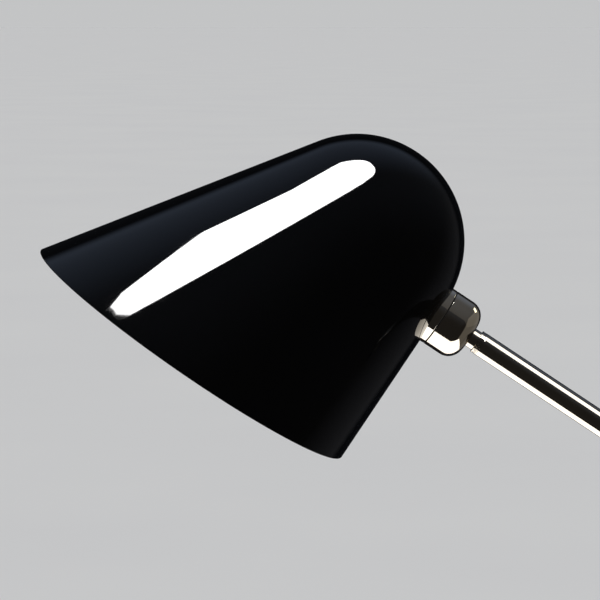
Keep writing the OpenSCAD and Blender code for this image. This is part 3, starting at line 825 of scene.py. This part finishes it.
def sun():
    """A soft sun for matt surfaces and shadows, which shows in no reflection."""
    light = added("sun", bpy.data.lights.new("sun", "SUN"))
    light.data.energy = SUN
    light.data.angle = SUN_WIDTH
    light.rotation_euler = (SUN_TILT, 0, SUN_TURN)
    light.visible_glossy = False


def world():
    """A pale surround for the floor and matt surfaces, and a dim slate room for reflections."""
    studio = bpy.data.worlds.new("studio")
    bpy.context.scene.world = studio
    n = Nodes(studio)
    n.tree.nodes.clear()

    def lobe(direction, low, high):
        """0 to 1 as the view turns towards direction, low and high being cosines."""
        dot = n.wire(n.add("ShaderNodeVectorMath", operation="DOT_PRODUCT"),
                     {0: place, 1: Vector(direction).normalized()})
        ramp = n.wire(n.add("ShaderNodeMapRange", interpolation_type="SMOOTHSTEP"),
                      {"Value": dot.outputs["Value"], "From Min": low, "From Max": high})
        return ramp.outputs["Result"]

    def background(colour, strength):
        """An even glow from everywhere."""
        node = n.add("ShaderNodeBackground")
        return n.wire(node, {"Color": colour, "Strength": strength}).outputs[0]

    def choose(ray, other, this):
        """this for rays of that kind, and other for the rest."""
        node = n.add("ShaderNodeMixShader")
        return n.wire(node, {0: path.outputs[ray], 1: other, 2: this}).outputs[0]

    place = n.add("ShaderNodeTexCoord").outputs["Generated"]
    path = n.add("ShaderNodeLightPath")
    pale = rgb(0.98, 0.99, 1.0)
    low_wall, ceiling = rgb(0.015, 0.0135, 0.012), rgb(0.045, 0.048, 0.055)
    blue_haze, low_haze, dark_core = (rgb(0.13, 0.16, 0.22), rgb(0.052, 0.052, 0.056),
                                      rgb(0.006, 0.0065, 0.008))
    wall = n.mixed(lobe((0, 0.3, 1), -0.2, 0.8), low_wall, ceiling)
    wall = n.mixed(lobe((-0.16, 0.66, 0.70), 0.55, 0.97), wall, blue_haze)
    wall = n.mixed(lobe((0.5, 0.75, -0.35), 0.6, 0.98), wall, low_haze)
    wall = n.mixed(lobe(-TO_CAMERA, 0.70, 0.84), wall, dark_core)
    seen = choose("Is Camera Ray", background(pale, AMBIENT), background(pale, FLOOR_GLOW))
    shown = choose("Is Glossy Ray", seen, background(wall, 1.0))
    n.link(shown, n.add("ShaderNodeOutputWorld").inputs[0])


def nickel_pieces(name, wanted):
    """A collection of the polished pieces that wanted accepts, for lights that serve them."""
    chosen = bpy.data.collections.new(name)
    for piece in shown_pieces():
        node = piece.get("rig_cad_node") or piece["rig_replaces"][0]
        if slot_of[node] == "polished_nickel" and wanted(node, body_of(piece)[0]):
            chosen.objects.link(piece)
    return chosen


def light_the_tube():
    """Two long strips, one over and one under the arm."""
    on_tube = nickel_pieces("tube", lambda node, body: body == "arm" and node not in KNUCKLE)
    arm_panel("strip_over", 79, 4, 1.0, 0.68, 1.0, 2.0, WARM, on_tube)
    arm_panel("strip_under", -107, 4, 1.0, 1.48, 1.0, 2.0, WARM, on_tube)


def light_the_knuckle():
    """A small lamp, two dull fills with soft edges, and a bright panel below the head."""
    on_knuckle = nickel_pieces("knuckle", lambda node, body: node in KNUCKLE)
    arm_panel("small_lamp", 121, 22, 1.2, 0.32, 0.32, 2.5, LAMP_YELLOW, on_knuckle)
    layers, spread, reach = 6, 0.22, 1.2
    for i in range(layers):
        for name, angle, down, size, glow in (("dull_over", 95, 15, 2.0, 0.24),
                                              ("end_fill", 100, 78, 1.9, 0.60)):
            across = size + spread * i
            arm_panel(f"{name}_{i}", angle, down, reach, across, across, glow / layers, AMBER,
                      on_knuckle)
    panel("low_panel", SEAM + Vector((-0.29, -0.03, -0.5)), (0, 0, 1), 0.78, 1.12, 2.2, WARM,
          on_knuckle, along=Vector((1, 0, 0)), echo=1.0)


def light_the_stand():
    """Two wide fills and three windows, for the stand, the yoke and the knob."""
    on_stand = nickel_pieces("stand_bright", lambda node, body: body not in ("arm", "head"))
    panel("front_fill", (-1.2, -3.0, 1.3), (0.4, 1, 0), 2.6, 2.6, 0.22, WARM, on_stand)
    panel("back_fill", (-1.4, 2.8, 1.3), (0.5, -1, 0), 2.6, 2.6, 0.18, WARM, on_stand)
    panel("left_window", (-2.6, -1.9, 1.1), (0.8, 0.6, 0), 0.8, 2.2, 3.0, COOL, on_stand)
    panel("back_window", (1.7, 2.4, 1.0), (-0.6, -0.8, 0), 0.7, 2.2, 3.0, WARM, on_stand)
    panel("right_window", (2.6, -1.4, 1.0), (-0.9, 0.5, 0), 0.35, 2.0, 2.5, WARM, on_stand)


floor()
world()
sun()
softbox()
light_the_tube()
light_the_knuckle()
light_the_stand()

# ---- Camera ----

def camera():
    """A long lens that looks at the head from the front, a little from above."""
    aim = SEAM + Vector((-0.074364, 0, 0.009101))
    azimuth, elevation, distance = math.radians(0.84), math.radians(5.41), 1.584
    back = Vector((math.sin(azimuth) * math.cos(elevation),
                   -math.cos(azimuth) * math.cos(elevation), math.sin(elevation)))
    view = added("camera", bpy.data.cameras.new("camera"))
    view.data.sensor_width = 36
    view.data.lens = 180
    view.data.clip_end = 2000
    view.location = aim + back * distance
    view.rotation_euler = back.to_track_quat("Z", "Y").to_euler()
    bpy.context.scene.camera = view


camera()
bpy.context.scene.view_settings.view_transform = "Standard"
